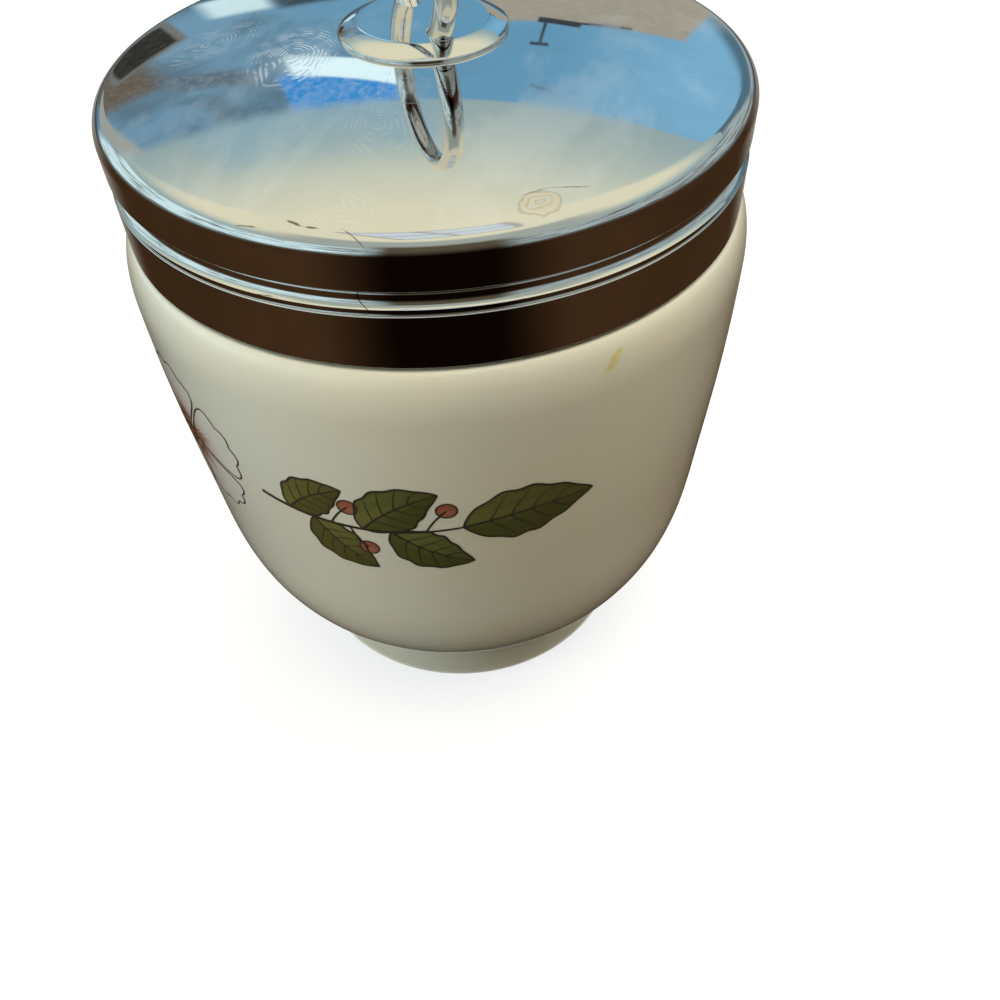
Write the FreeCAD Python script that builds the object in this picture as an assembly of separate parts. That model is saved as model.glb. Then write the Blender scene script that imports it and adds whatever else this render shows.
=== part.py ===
"""Porcelain egg coddler: a lathe-turned cup with a moulded screw neck, and a pressed
metal screw lid with a lifting ring.  Millimetres, +Z up, origin at the middle of the
face that the foot stands on."""
import FreeCAD, Part
import math
import os

Vec = FreeCAD.Vector

# ---- overall sizes ------------------------------------------------------------------
rim_height = 74.5          # table to the top of the lid's rolled rim
lid_radius = 31.5          # outside of both bands of the skirt
crown_rise = 2.8           # top of the dome above the rolled rim
crown_flatness = 2.0       # exponent of the dome's fall from its middle
dome_span_count = 8        # stretches that the dome's curve is drawn through
sheet = 0.8                # thickness of the pressed metal

# ---- skirt of the lid, measured down from the rolled rim ----------------------------
rim_roll = 2.1             # outside radius of the roll between dome and skirt
skirt_depth = 12.2         # rim to the lower edge
groove_depth = 5.9         # rim to the middle of the rolled groove
groove_radius = 1.15       # section radius of the rolled groove
skirt_edge = 0.15          # rounding of the skirt's lower edge
skirt_gap = 0.4            # lower edge of the skirt above the cup's shoulder

# ---- cup ----------------------------------------------------------------------------
wall = 3.0                 # porcelain thickness of the bowl
belly_reach = 1.3          # widest place beyond the skirt above it
shoulder_round_reach = 1.7 # oval rounding of the shoulder, measured outwards
shoulder_round_depth = 5.2 # the same, measured down to the widest place
shoulder_span_count = 5    # stretches that the rounding is drawn through
upper_taper = 0.3          # each taper is measured in from the widest place
upper_height = 45.0
middle_taper = 1.35
middle_height = 30.0
lower_taper = 3.2
lower_height = 18.0
heel_taper = 5.3
heel_height = 13.6
under_taper = 8.4          # where the bowl turns in under the heel
under_height = 9.8
foot_height = 6.8          # crease between bowl and foot ring
foot_radius = 22.3         # foot ring where it stands
foot_flare = 1.4           # foot ring at the crease, in from where it stands
foot_width = 2.8           # width of the standing ring
foot_edge = 0.6            # rounding of the standing ring
floor_thickness = 3.4      # porcelain over the hollow foot
recess_height = 5.6        # hollow under the cup
recess_corner = 1.5        # rounding inside the hollow foot
flat_floor_radius = 12.0   # level middle of the inside
neck_wall = 2.8            # mouth to the root of the moulded thread
lip_edge = 0.7             # rounding of the mouth

# ---- screw thread -------------------------------------------------------------------
pitch = 4.0                # rise per turn, right-handed
thread_turns = 1.25
thread_height = 1.2        # how far either rib stands out
thread_base = 1.9          # width of a rib at its root
thread_crest = 0.9         # width of a rib at its crest
thread_gap = 0.3           # crest of one rib to the root of the other
thread_start = 1.2         # shoulder to the lower side of the cup's rib
thread_root = 0.15         # how deep a rib runs into the wall that carries it

# ---- lining collar and seal ---------------------------------------------------------
collar_clearance = 0.1     # collar inside the sheet metal
collar_wall = 1.7          # collar at the root of its thread
collar_top = 1.3           # rim to the top of the collar
collar_corner = 1.0        # rounding of the collar's top edge
collar_end = 0.5           # lower edge of the collar inside the skirt's lower edge
flange_thickness = 0.7     # seat for the seal
seal_thickness = 1.4
seal_clearance = 0.4       # seal inside the collar

# ---- boss and lifting ring ----------------------------------------------------------
boss_radius = 8.05
boss_face_radius = 6.15    # flat top of the boss
boss_rise = 0.9            # flat top above the dome's middle
boss_edge = 0.3            # upright edge of the boss where it meets the dome
boss_side_bulge = 0.1      # how far the sloping side swells
boss_shank_radius = 5.4    # shank through the hole in the dome
boss_head_radius = 6.3     # riveted end
boss_head_thickness = 0.7
boss_seat_gap = 0.02       # underside of the boss above the dome
backing_radius = 8.6       # washer under the dome
backing_thickness = 0.7
ring_half_width = 8.0      # centre line of the oval ring, across
ring_half_height = 9.4     # centre line of the oval ring, upright
ring_wire = 1.1            # half the thickness of the ring
ring_sink = 1.6            # boss's flat top to the lowest point of the ring's centre line
ring_lean = 1.5            # degrees off upright, towards -X

# ---- worked out ---------------------------------------------------------------------
crown_height = rim_height + crown_rise
skirt_end = rim_height - skirt_depth
shoulder_height = skirt_end - skirt_gap
groove_height = rim_height - groove_depth
skirt_inside = lid_radius - sheet
collar_radius = skirt_inside - collar_clearance
collar_bore = collar_radius - collar_wall
neck_radius = collar_bore - thread_gap - thread_height
mouth_radius = neck_radius - neck_wall
belly_radius = lid_radius + belly_reach
belly_height = shoulder_height - shoulder_round_depth
shoulder_radius = belly_radius - shoulder_round_reach
foot_neck_radius = foot_radius - foot_flare
collar_height = rim_height - collar_top
seal_height = collar_height - flange_thickness
mouth_height = seal_height - seal_thickness
seal_outer = collar_bore - seal_clearance
thread_low = shoulder_height + thread_start
boss_face_height = crown_height + boss_rise
ring_height = boss_face_height - ring_sink + ring_half_height


def point(radius, height):
    """A point of a profile in the XZ half plane."""
    return Vec(radius, 0, height)


def line(start, end):
    return Part.makeLine(start, end)


def arc(start, middle, end):
    return Part.Arc(start, middle, end).toShape()


def arc_about(centre, radius, from_deg, to_deg):
    """Arc in the XZ plane about centre, by its two angles above +X."""
    def on(deg):
        angle = math.radians(deg)
        return centre + Vec(radius * math.cos(angle), 0, radius * math.sin(angle))
    return arc(on(from_deg), on((from_deg + to_deg) / 2), on(to_deg))


def smooth(points, first=None, last=None):
    """Interpolated curve through the points, with its end directions where given."""
    curve = Part.BSplineCurve()
    if first is None:
        curve.interpolate(points)
    else:
        curve.interpolate(Points=points, InitialTangent=first, FinalTangent=last)
    return curve.toShape()


def turned(edges):
    """Solid of revolution about Z of a closed profile."""
    ordered = Part.__sortEdges__(edges)
    face = Part.Face(Part.Wire(ordered))
    solid = face.revolve(Vec(0, 0, 0), Vec(0, 0, 1), 360)
    return solid if solid.Volume > 0 else solid.reversed()


def tube(inner, outer, low, high):
    """Plain ring between two radii and two heights."""
    outside = Part.makeCylinder(outer, high - low, Vec(0, 0, low))
    return outside.cut(Part.makeCylinder(inner, high - low, Vec(0, 0, low)))


# ---- dome of the lid ----------------------------------------------------------------
roll_centre = point(lid_radius - rim_roll, rim_height - rim_roll)


def dome_end():
    """Radius, height and downward slope where the dome runs into the rolled rim."""
    tilt = 0.0
    for _ in range(20):
        radius = roll_centre.x + rim_roll * math.sin(tilt)
        height = roll_centre.z + rim_roll * math.cos(tilt)
        tilt = math.atan(crown_flatness * (crown_height - height) / radius)
    return radius, height, tilt


dome_radius, dome_low, dome_tilt = dome_end()


def dome_point(radius, depth=0.0):
    """Point of the dome at a radius, moved in by depth along the surface's normal."""
    fall = crown_height - dome_low
    share = radius / dome_radius
    height = crown_height - fall * share ** crown_flatness
    slope = crown_flatness * fall / dome_radius * share ** (crown_flatness - 1)
    length = math.hypot(1, slope)
    return point(radius - depth * slope / length, height - depth / length)


def dome_points(start, end, depth):
    """Points along the dome between two radii, evenly spaced."""
    step = (end - start) / dome_span_count
    return [dome_point(start + step * i, depth) for i in range(dome_span_count + 1)]


def dome_curve(start, end, depth=0.0):
    """Edge along the dome between two radii."""
    return smooth(dome_points(start, end, depth))


def make_lid_shell():
    """Pressed dome with a rolled rim, a skirt of two bands and a groove between them."""
    groove = point(lid_radius, groove_height)
    groove_inner = groove_radius + sheet
    reach = math.degrees(math.acos(sheet / groove_inner))
    roll_deg = 90 - math.degrees(dome_tilt)
    top_out = arc_about(roll_centre, rim_roll, roll_deg, 0)
    top_in = arc_about(roll_centre, rim_roll - sheet, roll_deg, 0)
    groove_out = arc_about(groove, groove_radius, 90, 270)
    groove_in = arc_about(groove, groove_inner, 180 - reach, 180 + reach)
    inner_high = groove_in.Vertexes[0].Point
    inner_low = groove_in.Vertexes[-1].Point
    outside = point(lid_radius, roll_centre.z)
    edge_out = point(lid_radius - skirt_edge, skirt_end + skirt_edge)
    edge_in = point(skirt_inside + skirt_edge, skirt_end + skirt_edge)
    hole_out = dome_point(boss_shank_radius)
    hole_in = point(boss_shank_radius, dome_point(boss_shank_radius, sheet).z)
    inner_points = dome_points(boss_shank_radius, dome_radius, sheet)[1:]
    return turned([
        dome_curve(boss_shank_radius, dome_radius),
        top_out,
        line(outside, groove + Vec(0, 0, groove_radius)),
        groove_out,
        line(groove - Vec(0, 0, groove_radius), point(lid_radius, edge_out.z)),
        arc_about(edge_out, skirt_edge, 0, -90),
        line(point(edge_out.x, skirt_end), point(edge_in.x, skirt_end)),
        arc_about(edge_in, skirt_edge, -90, -180),
        line(point(skirt_inside, edge_in.z), inner_low),
        groove_in,
        line(inner_high, point(skirt_inside, roll_centre.z)),
        top_in,
        smooth([hole_in] + inner_points),
        line(hole_in, hole_out),
    ])


# ---- screw thread -------------------------------------------------------------------
def thread_rib(root_radius, outwards, low, turns, start_deg):
    """Helical rib of trapezoid section; outwards is 1 on the cup and -1 in the collar."""
    crest_radius = root_radius + outwards * thread_height
    base_radius = root_radius - outwards * thread_root
    middle = low + thread_base / 2
    section = [
        Vec(base_radius, 0, middle - thread_base / 2),
        Vec(crest_radius, 0, middle - thread_crest / 2),
        Vec(crest_radius, 0, middle + thread_crest / 2),
        Vec(base_radius, 0, middle + thread_base / 2),
    ]
    profile = Part.makePolygon(section + [section[0]])
    helix = Part.makeHelix(pitch, pitch * turns, root_radius)
    helix.translate(Vec(0, 0, middle))
    rib = Part.Wire(helix.Edges).makePipeShell([profile], True, True)
    rib.rotate(Vec(0, 0, 0), Vec(0, 0, 1), start_deg)
    return rib if rib.Volume > 0 else rib.reversed()


# ---- cup ----------------------------------------------------------------------------
def bowl_side():
    """Points down the outside of the bowl, below its widest place."""
    return [
        point(belly_radius - upper_taper, upper_height),
        point(belly_radius - middle_taper, middle_height),
        point(belly_radius - lower_taper, lower_height),
        point(belly_radius - heel_taper, heel_height),
        point(belly_radius - under_taper, under_height),
    ]


def shoulder_curve():
    """Quarter of an oval, from the level shoulder out and down to the widest place."""
    centre = point(shoulder_radius, belly_height)
    points = []
    for span in range(shoulder_span_count + 1):
        angle = math.pi / 2 * span / shoulder_span_count
        out = shoulder_round_reach * math.sin(angle)
        up = shoulder_round_depth * math.cos(angle)
        points.append(centre + Vec(out, 0, up))
    return smooth(points, Vec(1, 0, 0), Vec(0, 0, -1))


def bowl_outside():
    """Curve of the bowl from the widest place to the crease over the foot ring."""
    side = bowl_side()
    crease = point(foot_neck_radius, foot_height)
    return smooth([point(belly_radius, belly_height)] + side + [crease], Vec(0, 0, -1), crease - side[-1])


def inset(bowl, here):
    """The point of the bowl's inside that lies one wall in from a point outside."""
    along = bowl.Curve.tangent(bowl.Curve.parameter(here))[0]
    return here + Vec(along.z, 0, -along.x) * wall


def bowl_inside(bowl, start, floor_height):
    """Curve of the inside from the neck down to the level floor."""
    side = [inset(bowl, here) for here in bowl_side()]
    throat = (start + side[0]) * 0.5
    floor_edge = point(flat_floor_radius, floor_height)
    down = Vec(0, 0, -1)
    level = Vec(-1, 0, 0)
    return smooth([start, throat] + side + [floor_edge], down, level)


def foot_profile(crease):
    """Edges of the foot ring, from the crease round to the top of its hollow."""
    inside = foot_radius - foot_width
    outer_low = point(foot_radius - foot_edge, foot_edge)
    inner_low = point(inside + foot_edge, foot_edge)
    corner = point(inside - recess_corner, recess_height - recess_corner)
    return [
        line(crease, point(foot_radius, foot_edge)),
        arc_about(outer_low, foot_edge, 0, -90),
        line(point(outer_low.x, 0), point(inner_low.x, 0)),
        arc_about(inner_low, foot_edge, -90, -180),
        line(point(inside, foot_edge), point(inside, corner.z)),
        arc_about(corner, recess_corner, 0, 90),
    ]


def neck_profile(inside_start):
    """Edges from the shoulder up the screw neck and down to the inside of the bowl."""
    lip_out = point(neck_radius - lip_edge, mouth_height - lip_edge)
    lip_in = point(mouth_radius + lip_edge, mouth_height - lip_edge)
    return [
        shoulder_curve(),
        line(point(shoulder_radius, shoulder_height), point(neck_radius, shoulder_height)),
        line(point(neck_radius, shoulder_height), point(neck_radius, lip_out.z)),
        arc_about(lip_out, lip_edge, 0, 90),
        line(point(lip_out.x, mouth_height), point(lip_in.x, mouth_height)),
        arc_about(lip_in, lip_edge, 90, 180),
        line(point(mouth_radius, lip_in.z), inside_start),
    ]


def make_cup():
    """Bowl with a foot ring, a rounded shoulder and a screw neck."""
    bowl = bowl_outside()
    crease = bowl.Vertexes[-1].Point
    inside_start = point(mouth_radius, shoulder_height)
    floor_height = recess_height + floor_thickness
    recess_inside = foot_radius - foot_width - recess_corner
    profile = [bowl] + foot_profile(crease) + neck_profile(inside_start) + [
        bowl_inside(bowl, inside_start, floor_height),
        line(point(flat_floor_radius, floor_height), point(0, floor_height)),
        line(point(0, floor_height), point(0, recess_height)),
        line(point(0, recess_height), point(recess_inside, recess_height)),
    ]
    return turned(profile).fuse(thread_rib(neck_radius, 1, thread_low, thread_turns, 0))


def make_collar():
    """Threaded lining, gripped by the groove that is rolled into the skirt."""
    low = skirt_end + collar_end
    corner = point(collar_radius - collar_corner, collar_height - collar_corner)
    flange_bore = mouth_radius + lip_edge / 2
    collar = turned([
        line(point(flange_bore, collar_height), point(corner.x, collar_height)),
        arc_about(corner, collar_corner, 90, 0),
        line(point(collar_radius, corner.z), point(collar_radius, low)),
        line(point(collar_radius, low), point(collar_bore, low)),
        line(point(collar_bore, low), point(collar_bore, seal_height)),
        line(point(collar_bore, seal_height), point(flange_bore, seal_height)),
        line(point(flange_bore, seal_height), point(flange_bore, collar_height)),
    ])
    grip = Part.makeTorus(lid_radius, groove_radius + sheet, Vec(0, 0, groove_height))
    rib = thread_rib(collar_bore, -1, thread_low, thread_turns, 180)
    return collar.cut(grip).fuse(rib)


def make_seal():
    """Flat ring between the mouth of the cup and the collar's flange."""
    return tube(mouth_radius, seal_outer, mouth_height, seal_height)


# ---- boss, washer and ring ----------------------------------------------------------
def ring_solid():
    """Oval wire ring that stands across the X axis and leans a little."""
    centre = Vec(0, 0, ring_height)
    reaches = [Vec(0, 0, ring_half_height), Vec(0, ring_half_width, 0)]
    reaches.sort(key=lambda reach: reach.Length, reverse=True)
    path = Part.Ellipse(centre + reaches[0], centre + reaches[1], centre).toShape()
    start = path.Vertexes[0].Point
    section = Part.Wire(Part.makeCircle(ring_wire, start, path.tangentAt(path.FirstParameter)))
    ring = Part.Wire(path).makePipeShell([section], True, True)
    ring.rotate(Vec(0, 0, boss_face_height), Vec(0, 1, 0), -ring_lean)
    return ring if ring.Volume > 0 else ring.reversed()


backing_high = dome_point(backing_radius, sheet).z
backing_low = backing_high - backing_thickness


def make_boss():
    """Round boss, its shank riveted under the dome, with a cross hole for the ring."""
    shank_low = backing_low - boss_head_thickness
    rim_point = dome_point(boss_radius, -boss_seat_gap)
    seat = dome_point(boss_shank_radius, -boss_seat_gap)
    side_top = point(boss_face_radius, boss_face_height)
    side_low = rim_point + Vec(0, 0, boss_edge)
    side_middle = (side_top + side_low) * 0.5 + Vec(0, 0, boss_side_bulge)
    boss = turned([
        line(point(0, shank_low), point(0, boss_face_height)),
        line(point(0, boss_face_height), side_top),
        arc(side_top, side_middle, side_low),
        line(side_low, rim_point),
        dome_curve(boss_shank_radius, boss_radius, -boss_seat_gap),
        line(seat, point(boss_shank_radius, backing_low)),
        line(point(boss_shank_radius, backing_low), point(boss_head_radius, backing_low)),
        line(point(boss_head_radius, backing_low), point(boss_head_radius, shank_low)),
        line(point(boss_head_radius, shank_low), point(0, shank_low)),
    ])
    return boss.cut(ring_solid())


def make_backing_washer():
    """Flat washer that bears on the underside of the dome with its edge."""
    return tube(boss_shank_radius, backing_radius, backing_low, backing_high)


pieces = {
    "cup": make_cup(),
    "lid_shell": make_lid_shell(),
    "threaded_collar": make_collar(),
    "seal": make_seal(),
    "boss": make_boss(),
    "backing_washer": make_backing_washer(),
    "lifting_ring": ring_solid(),
}
os.makedirs("parts", exist_ok=True)
for name, shape in pieces.items():
    shape.exportStep(f"parts/{name}.step")
    print(name, len(shape.Solids), "solid,", round(shape.Volume), "cubic mm, valid:", shape.isValid())
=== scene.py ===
import bpy
import math
import numpy as np
from mathutils import Matrix, Vector


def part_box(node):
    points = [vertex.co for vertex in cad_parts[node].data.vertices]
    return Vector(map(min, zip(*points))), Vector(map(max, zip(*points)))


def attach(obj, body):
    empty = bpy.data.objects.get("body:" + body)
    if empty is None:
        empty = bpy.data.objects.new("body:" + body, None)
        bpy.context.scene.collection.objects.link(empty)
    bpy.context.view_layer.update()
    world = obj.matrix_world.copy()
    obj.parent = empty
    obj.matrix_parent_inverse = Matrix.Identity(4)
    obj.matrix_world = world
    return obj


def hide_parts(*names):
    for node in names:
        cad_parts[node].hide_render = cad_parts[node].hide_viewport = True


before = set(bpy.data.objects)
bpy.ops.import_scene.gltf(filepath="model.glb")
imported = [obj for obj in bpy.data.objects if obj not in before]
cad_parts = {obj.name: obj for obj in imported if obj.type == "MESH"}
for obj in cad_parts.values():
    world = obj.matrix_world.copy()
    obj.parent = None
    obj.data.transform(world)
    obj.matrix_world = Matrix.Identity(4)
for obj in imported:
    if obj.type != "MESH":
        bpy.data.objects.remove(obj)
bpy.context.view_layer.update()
mm = 0.001
print("frame loaded")

# the heights of the lid are measured from its rolled rim, which stands one skirt above its lower edge
skirtDepth, crownRise = 12.2, 2.8
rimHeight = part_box("lid_shell")[0].z / mm + skirtDepth

cameraView = {
    "distance": 91.7,       # from the turning axis, millimetres
    "aboveRim": 37.4,
    "turn": 17.6,           # round the object, degrees
    "pan": 3.42,
    "tilt": 47.72,          # below the horizon
    "roll": -2.14,
    "focal": 934.7,         # in thousandths of the picture's width
    "sensor": 36.0,
}


def makeCamera(view):
    # a camera that looks along -Z is rolled, raised from there by 90 degrees less the tilt, and panned
    turn, pan, tilt, roll = (math.radians(view[key]) for key in ("turn", "pan", "tilt", "roll"))
    place = Vector((-view["distance"] * math.sin(turn), -view["distance"] * math.cos(turn),
                    rimHeight + view["aboveRim"])) * mm
    lens = bpy.data.cameras.new("camera")
    lens.sensor_width = view["sensor"]
    lens.lens = view["focal"] * view["sensor"] / 1000
    lens.clip_start = 0.005
    camera = bpy.data.objects.new("camera", lens)
    camera.matrix_world = (
        Matrix.Translation(place) @ Matrix.Rotation(-pan - turn, 4, "Z")
        @ Matrix.Rotation(math.pi / 2 - tilt, 4, "X") @ Matrix.Rotation(roll, 4, "Z"))
    bpy.context.scene.collection.objects.link(camera)
    bpy.context.scene.camera = camera
    bpy.context.scene.view_settings.view_transform = "Standard"


makeCamera(cameraView)
print("camera placed")


def addMesh(name, points, quads, triangles=None, uv=None):
    # mesh of quads and triangles given by corner numbers; points are in millimetres
    faces = [quads] if triangles is None else [quads, triangles]
    loops = np.concatenate([kind.ravel() for kind in faces])
    sizes = np.concatenate([np.full(len(kind), kind.shape[1]) for kind in faces])
    starts = np.concatenate([[0], np.cumsum(sizes)[:-1]])
    mesh = bpy.data.meshes.new(name)
    mesh.vertices.add(len(points))
    mesh.vertices.foreach_set("co", (points * mm).ravel())
    mesh.loops.add(len(loops))
    mesh.loops.foreach_set("vertex_index", loops)
    mesh.polygons.add(len(sizes))
    mesh.polygons.foreach_set("loop_start", starts)
    mesh.update(calc_edges=True)
    mesh.polygons.foreach_set("use_smooth", np.ones(len(sizes), bool))
    if uv is not None:
        layer = mesh.uv_layers.new(name="pattern")
        layer.data.foreach_set("uv", uv[loops].ravel())
    mesh.validate()
    piece = bpy.data.objects.new(name, mesh)
    bpy.context.scene.collection.objects.link(piece)
    return piece


def gridQuads(rows, columns, closeRows, closeColumns):
    # corner numbers of the quads of a rows by columns grid, wrapped round where it closes
    row = np.arange(rows if closeRows else rows - 1)
    column = np.arange(columns if closeColumns else columns - 1)
    a, b = np.meshgrid(row, column, indexing="ij")
    a2, b2 = (a + 1) % rows, (b + 1) % columns
    corners = (a * columns + b, a * columns + b2, a2 * columns + b2, a2 * columns + b)
    return np.stack(corners, -1).reshape(-1, 4)


def lathe(name, profile, steps, bump=None):
    # profile (radius, height) turned about Z: point = (r cos t, r sin t, z); it closes on itself,
    # or in two poles where it starts and ends on the axis; bump gives a change of radius
    turn = np.arange(steps) * 2 * math.pi / steps
    onAxis = profile[0, 0] < 1e-9
    body = profile[1:-1] if onAxis else profile
    radius, height = body[:, 0, None], body[:, 1, None]
    if bump is not None:
        radius = radius + bump(radius, height, turn[None])
    points = np.stack(np.broadcast_arrays(radius * np.cos(turn), radius * np.sin(turn), height), -1)
    quads = gridQuads(len(body), steps, not onAxis, True)
    triangles = None
    points = points.reshape(-1, 3)
    if onAxis:
        first, last = len(points), len(points) + 1
        points = np.concatenate([points, [[0, 0, profile[0, 1]], [0, 0, profile[-1, 1]]]])
        here = np.arange(steps)
        there = (here + 1) % steps
        base = (len(body) - 1) * steps
        triangles = np.concatenate([
            np.stack([there, here, np.full(steps, first)], -1),
            np.stack([base + here, base + there, np.full(steps, last)], -1)])
    r, z = profile.T
    if r @ np.roll(z, -1) > z @ np.roll(r, -1):     # its faces would look inwards
        quads = quads[:, ::-1]
        triangles = None if triangles is None else triangles[:, ::-1]
    return addMesh(name, points, quads, triangles)


def arcOf(centre, radius, fromDeg, toDeg, count):
    # points of an arc about centre, by its two angles above the radius axis
    angle = np.radians(np.linspace(fromDeg, toDeg, count))
    return np.stack([centre[0] + radius * np.cos(angle), centre[1] + radius * np.sin(angle)], -1)


def lineOf(start, end, count, hold=0.03):
    # points between two others, without these: evenly spaced, and one close to either end that
    # keeps a rounding beside it from bending the light on the flat
    length = math.dist(start, end)
    share = np.linspace(0, 1, count + 2)[1:-1]
    share = np.concatenate([[hold / length], share, [1 - hold / length]])[:, None]
    return np.array(start) * (1 - share) + np.array(end) * share


def joinUp(parts):
    # profile made of its parts in turn; a number among them is so many points on the straight
    # between the parts beside it
    return np.concatenate([
        lineOf(parts[i - 1][-1], parts[i + 1][0], part) if isinstance(part, int) else part
        for i, part in enumerate(parts)])


def softCorner(before, corner, after, reach, count=7):
    # a corner rounded by the parabola (1-u)(1-u) S + 2u(1-u) C + u u E between two points at reach from it
    before, corner, after = (np.array(p, float) for p in (before, corner, after))
    start = corner + reach * (before - corner) / np.linalg.norm(before - corner)
    end = corner + reach * (after - corner) / np.linalg.norm(after - corner)
    u = np.linspace(0, 1, count)[:, None]
    return (1 - u) ** 2 * start + 2 * u * (1 - u) * corner + u ** 2 * end


def turned(x, y, angle):
    # a point turned by an angle: (x cos a - y sin a, x sin a + y cos a)
    return x * math.cos(angle) - y * math.sin(angle), x * math.sin(angle) + y * math.cos(angle)


def curveThrough(knots, count, first=None, last=None):
    # cubic spline through the knots by chord length, its ends free or along a direction
    knots = np.array(knots, float)
    span = np.linalg.norm(np.diff(knots, axis=0), axis=1)
    place = np.concatenate([[0], np.cumsum(span)])
    size = len(knots)
    system, right = np.zeros((size, size)), np.zeros((size, 2))
    for i in range(1, size - 1):
        system[i, i - 1:i + 2] = span[i], 2 * (span[i - 1] + span[i]), span[i - 1]
        right[i] = 3 * (span[i] * (knots[i] - knots[i - 1]) / span[i - 1]
                        + span[i - 1] * (knots[i + 1] - knots[i]) / span[i])
    for i, j, direction in ((0, 1, first), (-1, -2, last)):
        system[i, i] = 1
        if direction is None:
            system[i, i], system[i, j] = 2, 1
            right[i] = 3 * (knots[j] - knots[i]) / (place[j] - place[i])
        else:
            right[i] = direction
    slope = np.linalg.solve(system, right)
    t = np.linspace(0, place[-1], count)
    k = np.clip(np.searchsorted(place, t, side="right") - 1, 0, size - 2)
    h = span[k][:, None]
    u = ((t - place[k]) / span[k])[:, None]
    return ((2 * u ** 3 - 3 * u ** 2 + 1) * knots[k] + (u ** 3 - 2 * u ** 2 + u) * h * slope[k]
            + (-2 * u ** 3 + 3 * u ** 2) * knots[k + 1] + (u ** 3 - u ** 2) * h * slope[k + 1])


cupShape = {
    "belly": 32.795, "roundOut": 1.695, "roundDown": 5.2,
    "side": [(32.5, 45.0), (31.45, 30.0), (29.6, 18.0), (27.5, 13.6), (24.4, 9.8), (20.9, 6.8)],
    "inside": [(27.0, 53.4), (29.45, 44.9), (28.57, 30.3), (26.75, 19.0), (25.1, 15.4), (22.5, 12.1)],
    "floor": 9.0, "floorFlat": 12.0,
    "footOut": 22.3, "footWidth": 2.8, "footEdge": 0.6, "recess": 5.6, "recessCorner": 1.5,
    "creaseSoft": 0.45,     # glaze that gathers in the crease over the foot
    "neck": 27.4, "neckRound": 0.3, "mouth": 24.6, "lip": 0.7,
    "shoulderGap": 0.4,     # between the shoulder and the lid's lower edge
    "pitch": 4.0, "turns": 1.25, "ribHeight": 1.2, "ribBase": 1.9, "ribCrest": 0.9, "ribStart": 1.2,
    "runOut": 25.0,         # degrees over which the rib fades in and out
    "steps": 300,
}
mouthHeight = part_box("cup")[1].z / mm
shoulderHeight = rimHeight - skirtDepth - cupShape["shoulderGap"]
bellyHeight = shoulderHeight - cupShape["roundDown"]


def cupRib(cup):
    # height of the moulded thread: a flat-topped ridge that climbs one pitch a turn
    def height(radius, z, turn):
        low = shoulderHeight + cup["ribStart"] + cup["ribBase"] / 2
        total = cup["turns"] * 2 * math.pi
        best = np.zeros(np.broadcast(z, turn).shape)
        for lap in range(2):
            angle = turn + lap * 2 * math.pi
            off = np.abs(z - low - cup["pitch"] * angle / (2 * math.pi))
            side = (cup["ribBase"] / 2 - off) / (cup["ribBase"] / 2 - cup["ribCrest"] / 2)
            side = np.clip(side, 0, 1)
            ridge = side * side * (3 - 2 * side)
            fade = np.clip(np.minimum(angle, total - angle) / math.radians(cup["runOut"]), 0, 1)
            best = np.maximum(best, ridge * np.sqrt(fade))
        onNeck = np.abs(radius - cup["neck"]) < 0.01
        return np.where(onNeck & (z > shoulderHeight + 0.5), best * cup["ribHeight"], 0)
    return height


def cupOutside(cup):
    # outside of the bowl: a quarter of an oval from the level shoulder to the widest place, then a
    # spline down to the crease over the foot
    t = np.linspace(0, math.pi / 2, 26)[:, None]
    start = np.array([cup["belly"] - cup["roundOut"], bellyHeight])
    shoulder = start + np.concatenate([cup["roundOut"] * np.sin(t), cup["roundDown"] * np.cos(t)], 1)
    under, crease = np.array(cup["side"][-2:])
    along = (crease - under) / np.linalg.norm(crease - under)
    side = curveThrough([(cup["belly"], bellyHeight)] + cup["side"], 110, (0, -1), along)
    return np.concatenate([shoulder, side[1:]])


def cupProfile(cup):
    # closed half section: middle of the floor, inside, mouth, neck, outside, foot, recess
    mouth, neck, lip, fillet = cup["mouth"], cup["neck"], cup["lip"], cup["neckRound"]
    footOut, edge, corner = cup["footOut"], cup["footEdge"], cup["recessCorner"]
    footIn, lipHeight = footOut - cup["footWidth"], mouthHeight - lip
    floor = (cup["floorFlat"], cup["floor"])
    inside = curveThrough([(mouth, shoulderHeight)] + cup["inside"] + [floor], 70, (0, -1), (-1, 0))[::-1]
    outside = cupOutside(cup)
    crease, footTop = outside[-1], (footOut, edge)
    return joinUp([
        [(0, cup["floor"])], 10,
        inside, 8,
        arcOf((mouth + lip, lipHeight), lip, 180, 90, 8),
        arcOf((neck - lip, lipHeight), lip, 90, 0, 8), 60,
        arcOf((neck + fillet, shoulderHeight + fillet), fillet, 180, 270, 5), 6,
        outside[:-2],
        softCorner(outside[-3], crease, footTop, cup["creaseSoft"]),
        lineOf(crease + (np.array(footTop) - crease) * 0.1, footTop, 8),
        arcOf((footOut - edge, edge), edge, 0, -90, 8), 4,
        arcOf((footIn + edge, edge), edge, -90, -180, 8),
        arcOf((footIn - corner, cup["recess"] - corner), corner, 0, 90, 8), 10,
        [(0, cup["recess"])],
    ])


cup = lathe("cupBody", cupProfile(cupShape), cupShape["steps"], cupRib(cupShape))
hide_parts("cup")
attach(cup, "cup")
print("cup turned")


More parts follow.
